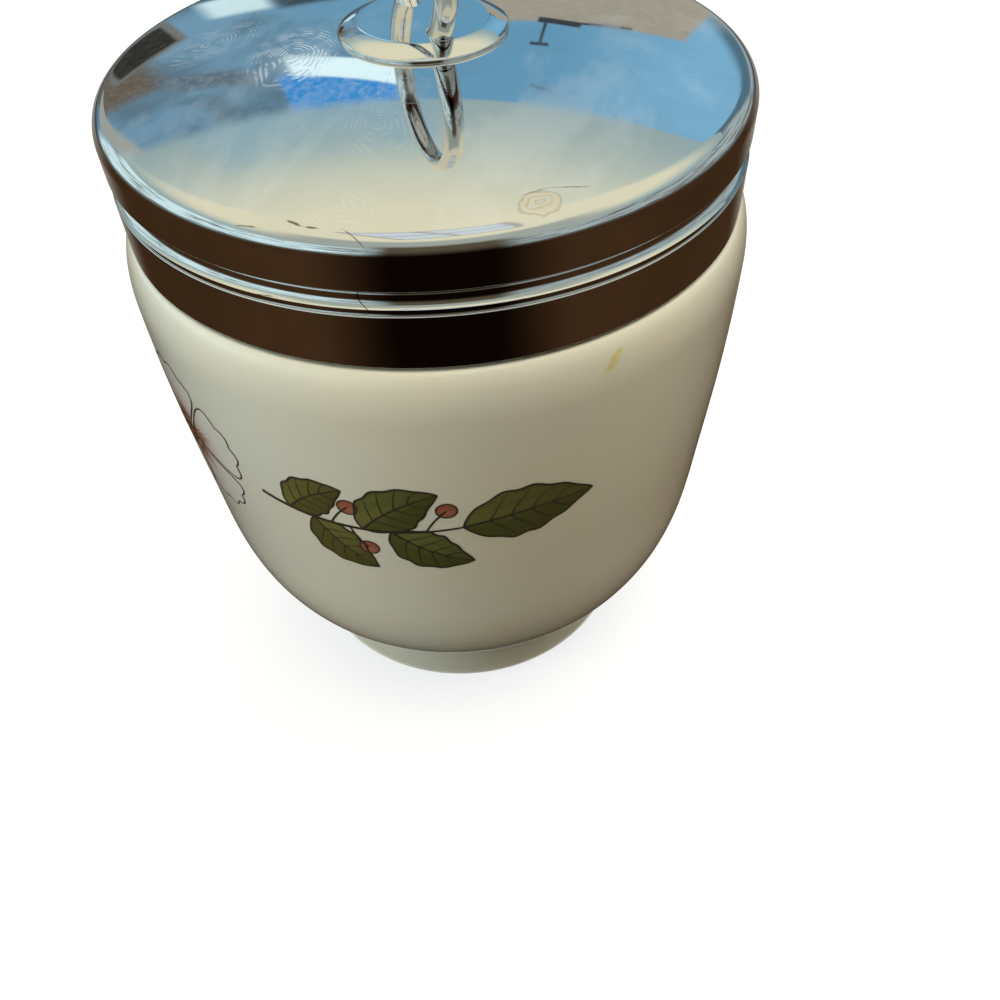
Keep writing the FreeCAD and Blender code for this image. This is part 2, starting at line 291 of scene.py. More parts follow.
lidShape = {
    "radius": 31.5, "sheet": 0.8, "flatness": 2.0,
    "roll": 2.1, "groove": 5.9, "grooveRadius": 1.15,
    "hole": 5.4, "steps": 360,
    "edgeRound": 0.12,      # softening of the groove's two edges
    "endRound": 0.06,       # rounding of the skirt's lower edge
    "insideStep": 1.8,      # half the width of the groove's back inside
    "press": 0.012,         # unevenness left by the pressing, millimetres
    # the waves of it: share, count round the lid, phase, drift with the height
    "pressWaves": [(1.0, 3, 0.7, 0.0), (0.6, 7, 0.0, 0.35), (0.35, 17, 0.0, -0.6)],
    "pressFrom": 22.0, "pressFull": 30.0,       # radii between which it sets in
}


def domeEnd(lid):
    # radius, height and slope where the dome runs into the rolled rim
    tilt = 0.0
    for _ in range(20):
        radius = lid["radius"] - lid["roll"] + lid["roll"] * math.sin(tilt)
        height = rimHeight - lid["roll"] + lid["roll"] * math.cos(tilt)
        tilt = math.atan(lid["flatness"] * (rimHeight + crownRise - height) / radius)
    return radius, height, tilt


def dome(lid, start, end, count, depth=0.0):
    # height = crown - fall * (r / R) ** flatness, moved in along the normal by depth
    edgeRadius, edgeHeight, _ = domeEnd(lid)
    radius = np.linspace(start, end, count)
    fall = rimHeight + crownRise - edgeHeight
    share = radius / edgeRadius
    height = rimHeight + crownRise - fall * share ** lid["flatness"]
    slope = lid["flatness"] * fall / edgeRadius * share ** (lid["flatness"] - 1)
    length = np.hypot(1, slope)
    return np.stack([radius - depth * slope / length, height - depth / length], -1)


def lidProfile(lid):
    # closed section of the pressed sheet: dome, rolled rim, band, groove, band, lower edge, back inside
    edgeRadius, _, tilt = domeEnd(lid)
    radius, sheet, roll, soft = lid["radius"], lid["sheet"], lid["roll"], lid["edgeRound"]
    end, low = lid["endRound"], rimHeight - skirtDepth
    rollCentre = (radius - roll, rimHeight - roll)
    rollStart = 90 - math.degrees(tilt)
    groove = (radius, rimHeight - lid["groove"])
    inside = lid["grooveRadius"] + sheet
    reach = math.degrees(math.acos(sheet / inside))
    lift = lid["grooveRadius"] + soft
    drop = math.sqrt(lift * lift - soft * soft)     # where the groove leaves the edge rounding
    edgeDeg = math.degrees(math.asin(soft / lift))
    inner = radius - sheet
    step = lid["insideStep"]
    return joinUp([
        dome(lid, lid["hole"], edgeRadius, 64),
        arcOf(rollCentre, roll, rollStart, 0, 30)[1:], 6,
        arcOf((radius - soft, groove[1] + drop), soft, 0, -90 + edgeDeg, 6),
        arcOf(groove, lid["grooveRadius"], 90 + edgeDeg, 270 - edgeDeg, 34),
        arcOf((radius - soft, groove[1] - drop), soft, 90 - edgeDeg, 0, 6), 8,
        arcOf((radius - end, low + end), end, 0, -90, 6), 1,
        arcOf((inner + end, low + end), end, -90, -180, 6),
        lineOf((inner, low + end), (inner, groove[1] - step), 4),
        arcOf(groove, inside, 180 + reach, 180 - reach, 16),
        lineOf((inner, groove[1] + step), (inner, rollCentre[1]), 4),
        arcOf(rollCentre, roll - sheet, 0, rollStart, 10),
        dome(lid, lid["hole"], edgeRadius, 24, sheet)[::-1][1:],
    ])


def pressWave(lid):
    # small inward waves round the rim and skirt: sum of share (1 + sin(count turn + phase + drift z))
    def change(radius, z, turn):
        wave = sum(share * (1 + np.sin(count * turn + phase + drift * z))
                   for share, count, phase, drift in lid["pressWaves"])
        near = np.clip((radius - lid["pressFrom"]) / (lid["pressFull"] - lid["pressFrom"]), 0, 1) ** 2
        return -lid["press"] * wave / 2 * near
    return change


lid = lathe("lidShell", lidProfile(lidShape), lidShape["steps"], pressWave(lidShape))
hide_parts("lid_shell")
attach(lid, "lid")
print("lid pressed")


bossShape = {
    "radius": 8.05, "face": 6.15, "rise": 0.9, "edge": 0.3, "bulge": 0.1, "shank": 5.38,
    "faceSoft": 0.16, "edgeSoft": 0.20, "steps": 360,
}
ringShape = {
    "halfWide": 8.0, "halfHigh": 9.4, "wire": 1.1, "sink": 1.6, "lean": 1.5,
    "around": 300, "section": 64,
    "unround": 0.012,       # hammer and polishing flats along the wire, millimetres
}
faceHeight = rimHeight + crownRise + bossShape["rise"]
ringHeight = faceHeight - ringShape["sink"] + ringShape["halfHigh"]


def bossProfile(boss):
    # flat face, a crisp edge, a sloping side that swells a little, an upright edge, the shank
    bottom, top = (v.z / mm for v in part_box("boss"))
    rim = dome(lidShape, boss["radius"], boss["radius"], 1)[0]
    sideTop, sideLow = np.array([boss["face"], top]), np.array([boss["radius"], rim[1] + boss["edge"]])
    share = np.linspace(0, 1, 24)[:, None]
    side = sideTop * (1 - share) + sideLow * share
    side = side + np.array([0, 4 * boss["bulge"]]) * share * (1 - share)
    away = np.linalg.norm(side - sideTop, axis=1)
    side = side[(away > boss["faceSoft"] * 1.1) & (away < away[-1] - boss["edgeSoft"] * 1.1)]
    return joinUp([
        [(0, top)], 24,
        softCorner((0, top), sideTop, side[0], boss["faceSoft"], 9),
        side,
        softCorner(side[-1], sideLow, (boss["radius"], rim[1]), boss["edgeSoft"]), 1,
        dome(lidShape, boss["shank"], boss["radius"], 12)[::-1],
        [(boss["shank"], bottom), (0, bottom)],
    ])


def makeRing(ring):
    # tube on an oval in the YZ plane: centre line (0, a sin t, b cos t), the wire's circle set
    # square to it, all leaned over towards -X about the boss's face
    t = np.arange(ring["around"])[:, None] * 2 * math.pi / ring["around"]
    s = np.arange(ring["section"])[None] * 2 * math.pi / ring["section"]
    wide, high = ring["halfWide"], ring["halfHigh"]
    wire = ring["wire"] - ring["unround"] * (1 + np.sin(5 * t + 3 * s) * np.sin(11 * t - 2 * s))
    outY, outZ = high * np.sin(t), wide * np.cos(t)
    length = np.hypot(outY, outZ)
    x = wire * np.sin(s)
    y = wide * np.sin(t) + wire * np.cos(s) * outY / length
    z = ringHeight - faceHeight + high * np.cos(t) + wire * np.cos(s) * outZ / length
    x, z = turned(x, z, math.radians(ring["lean"]))
    points = np.stack([x, y, faceHeight + z], -1)
    return addMesh("ringWire", points.reshape(-1, 3), gridQuads(ring["around"], ring["section"], True, True))


boss = lathe("bossTurned", bossProfile(bossShape), bossShape["steps"])
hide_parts("boss")
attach(boss, "lid")
ring = makeRing(ringShape)
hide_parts("lifting_ring")
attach(ring, "lid")
print("boss and ring made")


printShape = {
    "height": 44.5,         # level of the motifs' middles, millimetres over the table
    "meanRadius": 32.4,     # turns a width of the drawing into an angle
    "inkLift": 0.035, "veinLift": 0.031, "washLift": 0.02,      # over the glaze
    "outline": 0.27, "vein": 0.17, "stalk": 0.42, "stem": 0.221, "petalLine": 0.1944, "streak": 0.255,
    "sprays": [(-119.5, -3, 1.08, 1), (70, 5, 1.08, -1)],        # turn, tilt, scale, side
    "blooms": [(-166.5, 20, 1.0), (8, -12, 1.05)],
    "leaves": [     # place along the stalk, angle from it, length, half width, bend
        (0.06, 62, 7.6, 2.35, -34), (0.20, -58, 8.4, 2.5, 32), (0.47, 54, 9.2, 2.8, -34),
        (0.62, -50, 8.8, 2.65, 32), (0.99, 4, 12.4, 3.3, -14)],
    "stalkStart": (-11.5, -2.0), "stalkBend": 20, "stalkLength": 18.0,
    "veins": 4, "veinRoots": (0.2, 0.68), "veinReach": 0.17,     # ribs a side, shares of the blade's length
    "berries": [(0.30, 70, 3.4), (0.40, -74, 3.2), (0.80, 60, 3.6)],    # place, angle, length of stalk
    "berry": 0.95,
    "petals": 5, "petalLong": 9.6, "petalWide": 4.3, "bloomEye": 1.15,
    "petalNotch": 0.10, "petalLobe": 0.17,      # cut of the tip in its middle and at its sides
    "streaks": (-0.42, -0.2, 0, 0.2, 0.42),     # shares of a petal's half width
    "stamens": 10, "stamenReach": (2.0, 2.5), "stamen": 0.2,
}
outsideLine = cupOutside(cupShape)[::-1]


def onCup(flat, lift, turn):
    # drawing (x across, y up, in millimetres) wrapped on the bowl: angle = turn + x / mean radius,
    # height = level + y, radius = that of the bowl there plus the lift
    height = printShape["height"] + flat[..., 1]
    radius = np.interp(height, outsideLine[:, 1], outsideLine[:, 0]) + lift
    angle = math.radians(turn) + flat[..., 0] / printShape["meanRadius"]
    return np.stack([radius * np.cos(angle), radius * np.sin(angle), height], -1)


def along(start, direction, bend, length, u):
    # point and heading at share u of an arc that starts in a direction and bends by so many degrees
    heading = np.radians(direction + bend * u)
    first = math.radians(direction)
    turn = math.radians(bend) if abs(bend) > 0.01 else 1e-4
    x = start[0] + length / turn * (np.sin(heading) - math.sin(first))
    y = start[1] - length / turn * (np.cos(heading) - math.cos(first))
    return np.stack([x, y], -1), heading


class Drawing:
    # one layer of the print: grids on the cup, gathered into one mesh
    def __init__(self):
        self.points, self.quads, self.uv, self.count = [], [], [], 0

    def grid(self, flat, lift, turn, uv):
        rows, columns = flat.shape[:2]
        quads = gridQuads(rows, columns, False, False)
        points = onCup(flat, lift, turn)
        middle = points[rows // 2:rows // 2 + 2, columns // 2:columns // 2 + 2]
        normal = np.cross(middle[0, -1] - middle[0, 0], middle[-1, 0] - middle[0, 0])
        if normal @ (middle[0, 0] * (1, 1, 0)) < 0:
            quads = quads[:, ::-1]
        self.points.append(points.reshape(-1, 3))
        self.quads.append(quads + self.count)
        self.uv.append(np.stack(np.broadcast_arrays(*uv), -1).reshape(-1, 2))
        self.count += rows * columns

    def line(self, path, width, turn, lift):
        # ribbon: path + side * width * its normal
        step = np.gradient(path, axis=0)
        step = step / np.maximum(np.linalg.norm(step, axis=1, keepdims=True), 1e-9)
        normal = np.stack([-step[:, 1], step[:, 0]], -1)
        side = np.array([-0.5, 0, 0.5])
        off = side[None, :, None] * np.broadcast_to(width, len(path))[:, None, None]
        flat = path[:, None] + normal[:, None] * off
        self.grid(flat, lift, turn, (np.linspace(0, 1, len(path))[:, None], side[None] + 0.5))

    def finish(self, name):
        points, quads, uv = (np.concatenate(part) for part in (self.points, self.quads, self.uv))
        return addMesh(name, points, quads, uv=uv)


def drawLeaf(wash, ink, start, direction, length, half, bend, turn, place):
    # blade: rib arc + v * half * sin(pi u^0.8)^0.9, point v from -1 to 1; ribs leave it towards the tip
    look = printShape
    u = np.linspace(0, 1, 34)
    rib, heading = along(start, direction, bend, length, u)
    across = np.stack([-np.sin(heading), np.cos(heading)], -1)
    serrated = 1 + 0.05 * np.sin(9 * math.pi * u + direction)
    width = half * np.sin(math.pi * u ** 0.8) ** 0.9 * serrated
    v = np.linspace(-1, 1, 13)
    flat = rib[:, None] + across[:, None] * (width[:, None] * v[None])[..., None]
    wash.grid(place(flat), look["washLift"] * (0.7 + 0.3 * abs(math.sin(7 * length))), turn,
              (u[:, None], v[None] * 0.5 + 0.5))
    for side in (-1, 1):
        edge = rib + across * (width * side)[:, None]
        ink.line(place(edge), look["outline"] * (0.75 + 0.25 * np.sin(math.pi * u)), turn, look["inkLift"])
    ink.line(place(rib), look["outline"] * (1.1 - 0.7 * u), turn, look["inkLift"])
    t = np.linspace(0, 1, 9)
    for root in np.linspace(*look["veinRoots"], look["veins"]):
        for side in (-1, 1):
            here = root + look["veinReach"] * t
            base, head = along(start, direction, bend, length, here)
            out = np.interp(here, u, width) * side * t ** 0.85 * 0.9
            vein = base + np.stack([-np.sin(head), np.cos(head)], -1) * out[:, None]
            ink.line(place(vein), look["vein"] * (1 - 0.6 * t), turn, look["veinLift"])


def drawSpray(leaves, ink, berries, spray):
    # a bent stalk with leaves to either side and three berries
    turn, tilt, scale, side = spray
    look = printShape

    def place(flat):
        return np.stack(turned(flat[..., 0] * side, flat[..., 1], math.radians(tilt)), -1) * scale

    def stalkAt(u):
        return along(look["stalkStart"], -look["stalkBend"] / 3, look["stalkBend"], look["stalkLength"], u)
    u = np.linspace(-0.12, 1, 40)
    ink.line(place(stalkAt(u)[0]), look["stalk"] * (1.1 - 0.5 * np.clip(u, 0, 1)), turn, look["inkLift"])
    for share, off, length, half, bend in look["leaves"]:
        root, heading = stalkAt(np.array([share]))
        drawLeaf(leaves, ink, root[0], math.degrees(heading[0]) + off, length, half, bend, turn, place)
    for share, off, length in look["berries"]:
        root, heading = stalkAt(np.array([share]))
        stem, _ = along(root[0], math.degrees(heading[0]) + off, -off * 0.35, length, np.linspace(0, 1, 14))
        ink.line(place(stem), look["stem"], turn, look["inkLift"])
        drawDisc(berries, ink, place, stem[-1], look["berry"], turn)


def drawDisc(wash, ink, place, middle, radius, turn):
    # round fruit: middle + r (cos t, sin t), with its outline
    r, t = np.linspace(0.02, 1, 7)[:, None], np.linspace(0, 2 * math.pi, 33)[None]
    flat = np.array(middle) + radius * np.stack([r * np.cos(t), r * np.sin(t)], -1)
    wash.grid(place(flat), printShape["washLift"], turn, (r, t / (2 * math.pi)))
    ink.line(place(flat[-1]), printShape["vein"], turn, printShape["inkLift"])


def petalHalf(u):
    return printShape["petalWide"] * np.sin(math.pi * (0.03 + 0.90 * u) ** 1.9) ** 0.62


def drawBloom(petals, ink, hearts, bloom):
    # open flower: each petal is a blade v * wide * sin(pi u^1.9)^0.62 that stops short of its point,
    # with a two-lobed tip: its reach is cut by u^4 (notch (1-|v|)^1.5 + lobe |v|^3)
    turn, tilt, scale = bloom
    look = printShape
    u, v = np.linspace(0, 1, 30)[:, None], np.linspace(-1, 1, 17)[None]
    cut = look["petalNotch"] * (1 - np.abs(v)) ** 1.5 + look["petalLobe"] * np.abs(v) ** 3
    reach = look["petalLong"] * u * (1 - u ** 4 * cut) + 0.4

    def place(flat):
        return flat * scale
    for number in range(look["petals"]):
        spread = math.radians(tilt + number * 360 / look["petals"])
        flat = np.stack(turned(reach, petalHalf(u) * v, spread), -1)
        lift = look["washLift"] * (0.55 + 0.1 * (number % 3))
        petals.grid(place(flat), lift, turn, (u, v * 0.5 + 0.5))
        for edge in (flat[:, 0], flat[:, -1], flat[-1]):
            ink.line(place(edge), look["petalLine"], turn, look["inkLift"])
        for share in look["streaks"]:
            t = np.linspace(0.16, 0.5 - 0.35 * abs(share), 10)
            streak = np.stack(turned(look["petalLong"] * t + 0.4, petalHalf(t) * share, spread), -1)
            width = look["streak"] * (1 - np.linspace(0, 0.8, 10))
            hearts.line(place(streak), width, turn, look["veinLift"])
    drawDisc(hearts, ink, place, (0, 0), look["bloomEye"], turn)
    for number in range(look["stamens"]):
        heading = math.radians(tilt + 18 + number * 360 / look["stamens"])
        middle = turned(look["stamenReach"][number % 2], 0, heading)
        drawDisc(hearts, ink, place, middle, look["stamen"], turn)


leafLayer, petalLayer, rustLayer, inkLayer = Drawing(), Drawing(), Drawing(), Drawing()
for spray in printShape["sprays"]:
    drawSpray(leafLayer, inkLayer, rustLayer, spray)
for bloom in printShape["blooms"]:
    drawBloom(petalLayer, inkLayer, rustLayer, bloom)
leafPrint, petalPrint = leafLayer.finish("printLeaves"), petalLayer.finish("printPetals")
rustPrint, inkPrint = rustLayer.finish("printRust"), inkLayer.finish("printInk")
for piece in (leafPrint, petalPrint, rustPrint, inkPrint):
    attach(piece, "cup")
print("print laid on")


class Value:
    # an output of a shader node, to reckon with: arithmetic and the patterns below add nodes after it
    def __init__(self, socket):
        self.socket, self.tree = socket, socket.id_data

    def __add__(self, other):
        return calc("ADD", self, other)

    def __sub__(self, other):
        return calc("SUBTRACT", self, other)

    def __rsub__(self, other):
        return calc("SUBTRACT", other, self)

    def __mul__(self, other):
        return calc("MULTIPLY", self, other)

    def __truediv__(self, other):
        return calc("DIVIDE", self, other)

    __radd__, __rmul__ = __add__, __mul__

    def ease(self, low, high, start=0.0, end=1.0):
        # smooth step from start to end while the value goes from low to high
        node = newNode(self.tree, "MapRange", interpolation_type="SMOOTHSTEP")
        fill(node.inputs, Value=self, From_Min=low, From_Max=high, To_Min=start, To_Max=end)
        return Value(node.outputs["Result"])

    def between(self, low, high, soft):
        # 1 where the value lies between low and high, with soft ends
        return self.ease(low - soft, low + soft) * self.ease(high - soft, high + soft, 1.0, 0.0)

    def noise(self, scale, detail=3.0, roughness=0.5, distortion=0.0):
        node = newNode(self.tree, "TexNoise")
        fill(node.inputs, Vector=self, Scale=scale, Detail=detail, Roughness=roughness, Distortion=distortion)
        return Value(node.outputs["Fac"])

    def moved(self, turn=(0, 0, 0), scale=(1, 1, 1), shift=(0, 0, 0)):
        # turned first, then scaled and shifted
        first, then = newNode(self.tree, "Mapping"), newNode(self.tree, "Mapping")
        fill(first.inputs, Vector=self, Rotation=turn)
        fill(then.inputs, Vector=Value(first.outputs[0]), Scale=scale, Location=shift)
        return Value(then.outputs[0])

    def through(self, made, **values):
        # the masks that a group makes of this place
        node = newNode(self.tree, "Group", node_tree=made)
        fill(node.inputs, Place=self, **values)
        return [Value(output) for output in node.outputs]

    def apart(self):
        # its x, y and z
        node = newNode(self.tree, "SeparateXYZ")
        feed(node.inputs[0], self)
        return [Value(output) for output in node.outputs]


def newNode(tree, kind, **settings):
    node = tree.nodes.new("ShaderNode" + kind)
    for key, value in settings.items():
        setattr(node, key, value)
    return node


def feed(socket, value):
    # a value is linked to the socket, a number or a colour is set on it
    if isinstance(value, Value):
        value.tree.links.new(value.socket, socket)
    else:
        socket.default_value = (*value, 1) if socket.type == "RGBA" else value


def feedAll(sockets, values):
    for socket, value in zip(sockets, values):
        feed(socket, value)


def fill(sockets, **values):
    # the same by label, with _ for a space
    for label, value in values.items():
        feed(sockets[label.replace("_", " ")], value)


def treeOf(values):
    return next(value.tree for value in values if isinstance(value, Value))


def calc(operation, *values, **settings):
    node = newNode(treeOf(values), "Math", operation=operation, **settings)
    feedAll(node.inputs, values)
    return Value(node.outputs[0])


def most(first, second):
    return calc("MAXIMUM", first, second)


def squareRoot(value):
    return calc("SQRT", value)


def vector(operation, *values):
    # arithmetic with places and directions; a length or a dot product is a number
    node = newNode(treeOf(values), "VectorMath", operation=operation)
    feedAll(node.inputs, values)
    return Value(node.outputs["Value" if operation in ("LENGTH", "DOT_PRODUCT") else "Vector"])


def joined(*parts):
    # a place put together from numbers
    node = newNode(treeOf(parts), "CombineXYZ")
    feedAll(node.inputs, parts)
    return Value(node.outputs[0])


def blend(share, first, second):
    # from the first colour to the second by a share
    node = newNode(share.tree, "Mix", data_type="RGBA")
    feedAll((node.inputs["Factor"], node.inputs[6], node.inputs[7]), (share, first, second))
    return Value(node.outputs[2])


def group(name, outputs, **inputs):
    # shared node group that turns a place and further inputs, given with their defaults, into masks
    tree = bpy.data.node_groups.new(name, "ShaderNodeTree")
    for label, default in {"Place": (0, 0, 0), **inputs}.items():
        kind = "NodeSocketVector" if isinstance(default, tuple) else "NodeSocketFloat"
        tree.interface.new_socket(name=label, in_out="INPUT", socket_type=kind).default_value = default
    for label in outputs:
        tree.interface.new_socket(name=label, in_out="OUTPUT", socket_type="NodeSocketFloat")
    given = {socket.name: Value(socket) for socket in tree.nodes.new("NodeGroupInput").outputs}
    return tree, given, tree.nodes.new("NodeGroupOutput").inputs


def makeSmears():
    # greasy smears: stretched, wandering noise cut off softly
    tree, given, out = group("smears", ["Mask"], Size=60.0, Amount=0.5)
    stretched = given["Place"].moved(turn=(0, 0, 0.6), scale=(1.0, 0.45, 1.0))
    broad = stretched.noise(given["Size"], 4.0, 0.55, 0.6)
    fine = stretched.noise(given["Size"] * 9.0, 3.0, 0.6)
    level = 0.75 - given["Amount"] * 0.4
    feed(out["Mask"], (broad + (fine - 0.5) * 0.22).ease(level, level + 0.16))
    return tree


def makeWipes():
    # hairline wiping scratches: noise drawn out along three directions, kept where it peaks
    tree, given, out = group("wipes", ["Mask"], Finest=9000.0)
    masks = []
    for turn, cut in ((0.5, 0.67), (-0.75, 0.7), (1.9, 0.7)):
        drawn = given["Place"].moved(turn=(0, 0, turn), scale=(0.012, 1.0, 1.0))
        lines = drawn.noise(given["Finest"], 1.0, 0.5).ease(cut, cut + 0.05)
        patch = given["Place"].moved(shift=(turn, 0, 0)).noise(130.0, 2.0).ease(0.5, 0.62)
        masks.append(lines * patch)
    feed(out["Mask"], most(most(masks[0], masks[1]), masks[2]))
    return tree


def makeMark(name, size, squeeze, outputs):
    # group for one mark on the lid: the place turned about its middle, the y of that, and the
    # distance from the middle by an oval
    tree, given, out = group(name, outputs, Middle=(0, 0, 0), Turn=0.0, Size=size)
    spin = newNode(tree, "VectorRotate", rotation_type="Z_AXIS")
    fill(spin.inputs, Vector=vector("SUBTRACT", given["Place"], given["Middle"]), Angle=given["Turn"])
    local = Value(spin.outputs[0])
    x, y, _ = local.apart()
    tall = y * squeeze
    return tree, given, out, local, y, squareRoot(x * x + tall * tall)


def makeFingerMark():
    # one finger mark: whorled ridges 0.44 mm apart inside a soft oval, broken by noise
    tree, given, out, local, y, far = makeMark("fingerMark", 0.0065, 0.68, ["Ridges"])
    arch = far + (local.noise(260.0, 2.0) * 0.0016 + y * 0.22)
    wave = calc("SINE", arch * (2 * math.pi / 0.00044))
    worn = local.noise(620.0, 3.0).ease(0.38, 0.6)
    oval = far.ease(given["Size"] * 0.62, given["Size"], 1.0, 0.0)
    feed(out["Ridges"], wave.ease(-0.4, 0.5) * (oval * worn))
    return tree


def makeBlot():
    # one dried drop: an oval of uneven tint, a thin wandering rim and faint swirls inside it
    tree, given, out, local, _, far = makeMark("blot", 0.0019, 1.35, ["Rim", "Fill"])
    ragged = local.noise(700.0, 3.0) - 0.5
    share = far / given["Size"] + ragged * 0.7
    inside = share.ease(0.82, 0.94, 1.0, 0.0)
    swirl = calc("SINE", share * 15.0 + ragged * 9.0).ease(0.72, 0.95) * (inside * 0.55)
    feed(out["Rim"], most(share.between(0.88, 0.94, 0.08), swirl))
    feed(out["Fill"], inside * local.noise(900.0, 2.0).ease(0.35, 0.6))
    return tree


def makeFlecks():
    # scattered specks: dots round the middles of a cell pattern, most of them left out
    tree, given, out = group("flecks", ["Mask"], Spacing=300.0, Dot=0.08, Share=0.1)
    cells = newNode(tree, "TexVoronoi")
    fill(cells.inputs, Vector=given["Place"], Scale=given["Spacing"])
    kept = calc("LESS_THAN", Value(cells.outputs["Color"]).apart()[0], given["Share"])
    dot = Value(cells.outputs["Distance"]).ease(given["Dot"] * 0.6, given["Dot"], 1.0, 0.0)
    feed(out["Mask"], dot * kept)
    return tree


def makeScratch():
    # one scratch seen from above: near the segment from start along reach, its edge ragged, its ends thin
    tree, given, out = group("scratch", ["Mask"], Start=(0, 0, 0), Reach=(0, 0, 0), Width=0.0001)
    reach, width = given["Reach"], given["Width"]
    flat = vector("MULTIPLY", given["Place"], (1, 1, 0))
    off = vector("SUBTRACT", flat, given["Start"])
    passed, whole = vector("DOT_PRODUCT", off, reach), vector("DOT_PRODUCT", reach, reach)
    share = calc("DIVIDE", passed, whole, use_clamp=True)
    far = vector("LENGTH", vector("SUBTRACT", off, vector("MULTIPLY", reach, share)))
    ragged = (flat.noise(2500.0, 2.0) - 0.4) * width
    taper = width * calc("ABSOLUTE", share - 0.5).ease(0.1, 0.5, 1.0, 0.2)
    feed(out["Mask"], (far + ragged).ease(taper * 0.5, taper, 0.85, 0.0))
    return tree


smears, wipes, flecks = makeSmears(), makeWipes(), makeFlecks()
fingerMark, blot, scratch = makeFingerMark(), makeBlot(), makeScratch()
print("pattern groups made")


def newMaterial(name):
    material = bpy.data.materials.new(name)
    material.use_nodes = True
    nodes = material.node_tree.nodes
    place = nodes.new("ShaderNodeTexCoord").outputs
    return material, nodes["Principled BSDF"].inputs, Value(place["Object"]), Value(place["UV"])


def addBump(shader, height, distance):
    bump = newNode(height.tree, "Bump")
    fill(bump.inputs, Height=height, Distance=distance, Strength=1.0)
    feed(shader["Normal"], Value(bump.outputs[0]))


glazeLook = {
    "cream": (0.70, 0.66, 0.50), "cool": (0.68, 0.66, 0.53), "creaseShade": (0.60, 0.545, 0.40),
    "bare": (0.66, 0.60, 0.50), "speck": (0.22, 0.16, 0.10), "stain": (0.62, 0.54, 0.17),
    "creaseShadeShare": 0.55, "speckShare": 0.55, "stainShare": 0.8,
    "clouds": (55.0, 4.0, 0.55),                # scale, detail and roughness of their noise
    "specks": {"Spacing": 260.0, "Dot": 0.045, "Share": 0.05},
    "smears": {"Size": 45.0, "Amount": 0.45},
    "stainMiddle": (0.0046, -0.0321, 0.0598), "stainTurn": -0.75,
    "stainScale": (1350.0, 480.0, 520.0),       # one over its reach across, in depth and along
    "crease": (0.0058, 0.0078),                 # heights of the band of painted crease shade over the foot, metres
    "bareFade": (0.0002, 0.00032),              # heights over which the standing ring gets its glaze
    "roughness": 0.32, "coatRoughness": 0.035,
    "relief": 0.00006,                          # height of the swells and of the bare grain, metres
}


def glazeMaterial(look):
    # clouded warm glaze, with painted shade darkening the crease over the foot, specks, one stain and a bare
    # standing ring
    material, shader, here, _ = newMaterial("warmGlaze")
    z = here.apart()[2]
    body = blend(here.noise(*look["clouds"]).ease(0.4, 0.62), look["cream"], look["cool"])
    # painted shade: the band over the foot is darkened as if the crease lay in shade
    body = blend(z.between(*look["crease"], 0.0012) * look["creaseShadeShare"], body, look["creaseShade"])
    specks = here.through(flecks, **look["specks"])[0]
    body = blend(specks * look["speckShare"], body, look["speck"])
    off = vector("SUBTRACT", here, look["stainMiddle"])
    oval = vector("LENGTH", off.moved(turn=(0, look["stainTurn"], 0), scale=look["stainScale"]))
    ragged = oval + here.noise(1800.0, 3.0) * 0.9
    body = blend(ragged.ease(0.7, 1.4, 1.0, 0.0) * look["stainShare"], body, look["stain"])
    bare = (z + here.noise(700.0, 2.0) * 0.0002).ease(*look["bareFade"], 1.0, 0.0)
    smear = here.through(smears, **look["smears"])[0]
    fill(shader, Base_Color=blend(bare, body, look["bare"]), Roughness=most(look["roughness"], bare * 0.8),
         Coat_Weight=1.0 - bare, Coat_Roughness=look["coatRoughness"] + smear * 0.05)
    grain = here.noise(4200.0, 3.0) * bare * 0.25
    addBump(shader, here.noise(150.0, 2.0, 0.4) + grain, look["relief"])
    return material


enamelLook = {      # one half of a blade, the other, tips and streaks, and how strong the streaks are
    "oliveEnamel": ((0.085, 0.088, 0.018), (0.155, 0.158, 0.038), (0.062, 0.064, 0.014), 1.0),
    "rustEnamel": ((0.33, 0.105, 0.055), (0.42, 0.16, 0.085), (0.24, 0.07, 0.04), 0.6),
    "inkEnamel": ((0.035, 0.026, 0.016), (0.045, 0.034, 0.02), (0.03, 0.026, 0.014), 0.4),
}
enamelBrush = ((1.6, 9.0, 90.0), 1.6, 0.55)      # stretch of u, v and height, then scale and roughness
petalLook = {
    "edge": (0.70, 0.655, 0.57), "middle": (0.69, 0.53, 0.45), "heart": (0.36, 0.12, 0.07),
    "brush": ((1.2, 16.0, 60.0), 1.4, 0.6),
}
firedGloss = {"Roughness": 0.34, "Coat_Weight": 1.0, "Coat_Roughness": 0.05}


def brushed(here, uv, stretch, scale, roughness):
    # u and v of a blade, and streaks along it: noise of (u, v, height), each stretched
    u, v, _ = uv.apart()
    place = joined(*(part * share for part, share in zip((u, v, here.apart()[2]), stretch)))
    return u, v, place.noise(scale, 3.0, roughness)


def enamelMaterial(name):
    # fired enamel: streaked along the blade, darker along one half, under the same gloss as the glaze
    near, far, tips, streaks = enamelLook[name]
    material, shader, here, uv = newMaterial(name)
    u, v, brush = brushed(here, uv, *enamelBrush)
    half = (v + (brush - 0.5) * 0.5).ease(0.3, 0.62)
    body = blend(u.ease(0.1, 0.95) * 0.6, blend(half, near, far), tips)
    body = blend(brush.ease(0.35, 0.7) * (0.45 * streaks), body, tips)
    body = blend(here.noise(2600.0, 2.0).ease(0.5, 0.75) * 0.12, body, near)
    fill(shader, Base_Color=body, **firedGloss)
    addBump(shader, brush, 0.00001)
    return material


def petalMaterial(look):
    # rose wash that gathers in streaks towards the eye of the flower
    material, shader, here, uv = newMaterial("roseEnamel")
    u, _, brush = brushed(here, uv, *look["brush"])
    reach = u - (brush - 0.5) * 0.75
    body = blend(reach.ease(0.2, 0.62), look["middle"], look["edge"])
    fill(shader, Base_Color=blend(reach.ease(0.04, 0.36, 1.0, 0.0), body, look["heart"]), **firedGloss)
    return material


